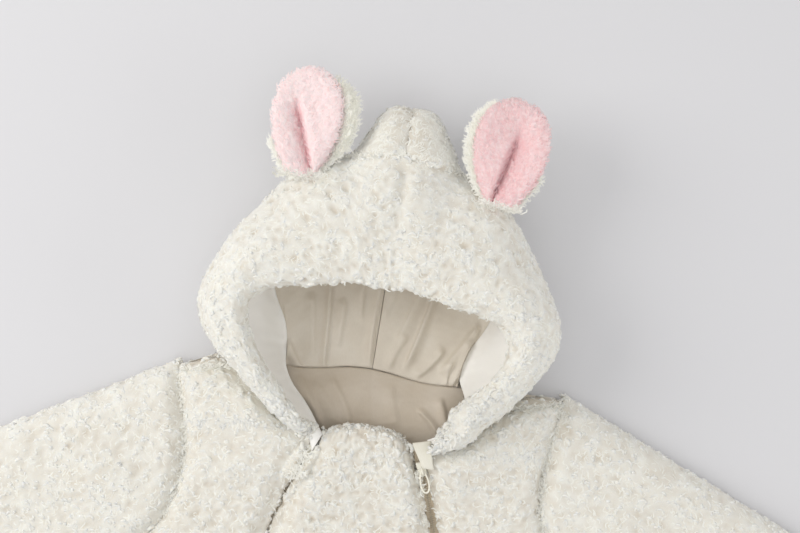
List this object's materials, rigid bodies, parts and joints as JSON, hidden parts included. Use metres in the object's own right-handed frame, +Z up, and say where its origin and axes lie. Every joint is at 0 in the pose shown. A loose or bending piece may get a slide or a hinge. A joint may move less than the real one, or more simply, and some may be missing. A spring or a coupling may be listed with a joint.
{
  "type": "baby snowsuit",
  "caption": "Hooded one-piece baby snowsuit of curly fleece with ears, lined hood and double front zip, laid flat on its back.",
  "frame": {"origin": "middle of the suit's box, on the surface that it lies on", "axes": "+Y from the feet to the hood, +X to the right as seen from above, +Z up from the surface"},
  "size_m": [0.728, 0.8636, 0.0901],
  "materials": {
    "fleece": "curly sherpa fleece, cream white, matte",
    "pink_plush": "short plush, pale pink, matte",
    "lining": "fine plain-woven lining, beige, soft sheen",
    "facing": "smooth knit facing and ribbon, off-white",
    "tape": "woven zip tape, beige",
    "enamel": "cream enamel on cast zip hardware, glossy"
  },
  "bodies": {
    "suit": {"back": "fleece", "back_neck_lining": "lining", "ear_left_back": "fleece", "ear_left_front": "pink_plush", "ear_right_back": "fleece", "ear_right_front": "pink_plush", "front_center": "fleece", "front_left": "fleece", "front_right": "fleece", "hood_band": "fleece", "hood_crown_left": "fleece", "hood_crown_right": "fleece", "hood_facing": "facing", "hood_lining_left": "lining", "hood_lining_right": "lining", "sleeve_left": "fleece", "sleeve_right": "fleece", "zip_left_slider": "enamel", "zip_left_tape_inner": "tape", "zip_left_tape_outer": "tape", "zip_right_slider": "enamel", "zip_right_tape_inner": "tape", "zip_right_tape_outer": "tape", "zip_tab": "facing"},
    "pull_left": {"zip_left_pull": "enamel"},
    "pull_right": {"zip_right_pull": "enamel"}
  },
  "joints": [
    {"name": "pull_left_swing", "type": "hinge", "parent": "suit", "child": "pull_left", "pos_m": [-0.04305, 0.14564, 0.03713], "axis": [-0.9126, 0.4089, 0], "range_deg": [0, 90]},
    {"name": "pull_right_swing", "type": "hinge", "parent": "suit", "child": "pull_right", "pos_m": [0.04439, 0.13999, 0.03713], "axis": [-0.9572, -0.2893, 0], "range_deg": [0, 90]}
  ]
}
